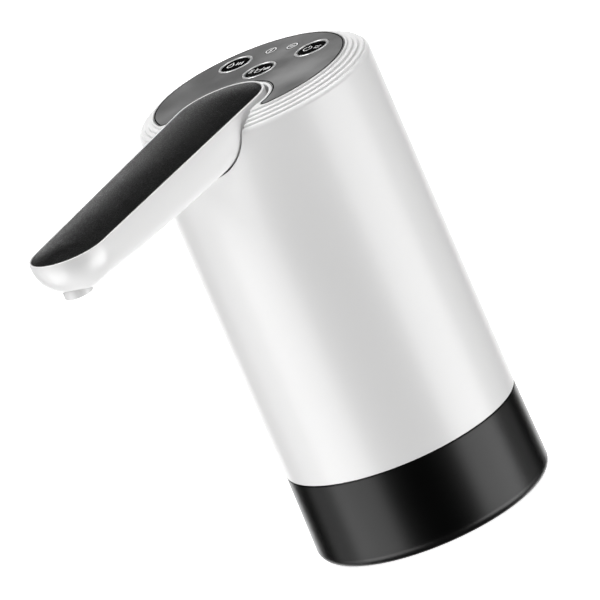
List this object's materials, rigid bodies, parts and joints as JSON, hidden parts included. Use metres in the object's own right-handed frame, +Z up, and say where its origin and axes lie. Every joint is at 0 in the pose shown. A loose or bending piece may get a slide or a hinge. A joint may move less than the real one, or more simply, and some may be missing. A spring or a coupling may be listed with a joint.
{
  "type": "bottled water pump",
  "caption": "Cylindrical rechargeable pump that sits on a large water bottle's neck and pours through a folding arm, with push buttons in a dark round top panel.",
  "frame": {"origin": "centre of the base's underside, on the body's axis, where the bottle's neck comes in", "axes": "+Z up along the body's axis, -Y towards the arm's tip when it is folded out as in the picture, +X to the right seen from behind the panel's front"},
  "size_m": [0.0728, 0.1601, 0.144],
  "materials": {
    "white_shell": "glossy white ABS",
    "black_base": "black ABS with a soft gloss",
    "panel_gloss": "dark grey high-gloss acrylic",
    "button_gloss": "black high-gloss keycap",
    "bright_ring": "bright plated ring",
    "black_leather": "fine black leather grain",
    "smoked_lens": "smoked clear plastic",
    "steel": "plain bright steel",
    "silicone": "milky food-grade silicone",
    "black_rubber": "matt black rubber",
    "grey_plastic": "grey moulded plastic",
    "black_plastic": "matt black moulded plastic",
    "board_green": "green glass-fibre board",
    "cell_wrap": "blue shrink wrap",
    "lead_red": "red lead insulation"
  },
  "bodies": {
    "housing": {"base_ring": "black_base", "neck_seal": "silicone", "base_gasket": "black_rubber", "inlet_elbow": "grey_plastic", "chassis": "grey_plastic", "clamp_plate": "grey_plastic", "motor": "steel", "pump_frame": "black_plastic", "diaphragm": "black_rubber", "pump_head": "black_plastic", "battery_cell": "cell_wrap", "suction_hose": "silicone", "riser_hose": "silicone", "motor_lead": "lead_red", "cell_lead": "lead_red", "control_panel": "panel_gloss", "button_ring_left": "bright_ring", "button_ring_front": "bright_ring", "button_ring_right": "bright_ring", "switch_left": "grey_plastic", "switch_front": "grey_plastic", "switch_right": "grey_plastic", "indicator_left": "smoked_lens", "indicator_right": "smoked_lens", "led_left": "silicone", "led_right": "silicone", "circuit_board": "board_green", "charge_socket": "steel", "base_screw_1": "steel", "base_screw_2": "steel", "base_screw_3": "steel", "clamp_screw_1": "steel", "clamp_screw_2": "steel", "board_screw_1": "steel", "board_screw_2": "steel", "board_screw_3": "steel", "board_screw_4": "steel", "body_shell": "white_shell", "hinge_pin_right": "steel", "hinge_pin_left": "steel"},
    "arm": {"arm_shell": "white_shell", "arm_inlay": "black_leather", "nozzle": "white_shell", "arm_hose": "silicone"},
    "left_button": {"button_left": "button_gloss"},
    "front_button": {"button_front": "button_gloss"},
    "right_button": {"button_right": "button_gloss"},
    "crank": {"crank_wheel": "grey_plastic"}
  },
  "joints": [
    {"name": "arm_fold", "type": "hinge", "parent": "housing", "child": "arm", "pos_m": [0, -0.0187, 0.1387], "axis": [-1, 0, 0], "range_deg": [0, 90]},
    {"name": "left_button_press", "type": "slide", "parent": "housing", "child": "left_button", "axis": [0, 0, -1], "range_m": [0, 0.0006], "stiffness_N_per_m": 800, "springref_m": -0.0005},
    {"name": "front_button_press", "type": "slide", "parent": "housing", "child": "front_button", "axis": [0, 0, -1], "range_m": [0, 0.0006], "stiffness_N_per_m": 800, "springref_m": -0.0005},
    {"name": "right_button_press", "type": "slide", "parent": "housing", "child": "right_button", "axis": [0, 0, -1], "range_m": [0, 0.0006], "stiffness_N_per_m": 800, "springref_m": -0.0005},
    {"name": "crank_spin", "type": "hinge", "parent": "housing", "child": "crank", "pos_m": [0.013, 0.002, 0.0676], "axis": [0, 0, 1], "continuous": true}
  ]
}
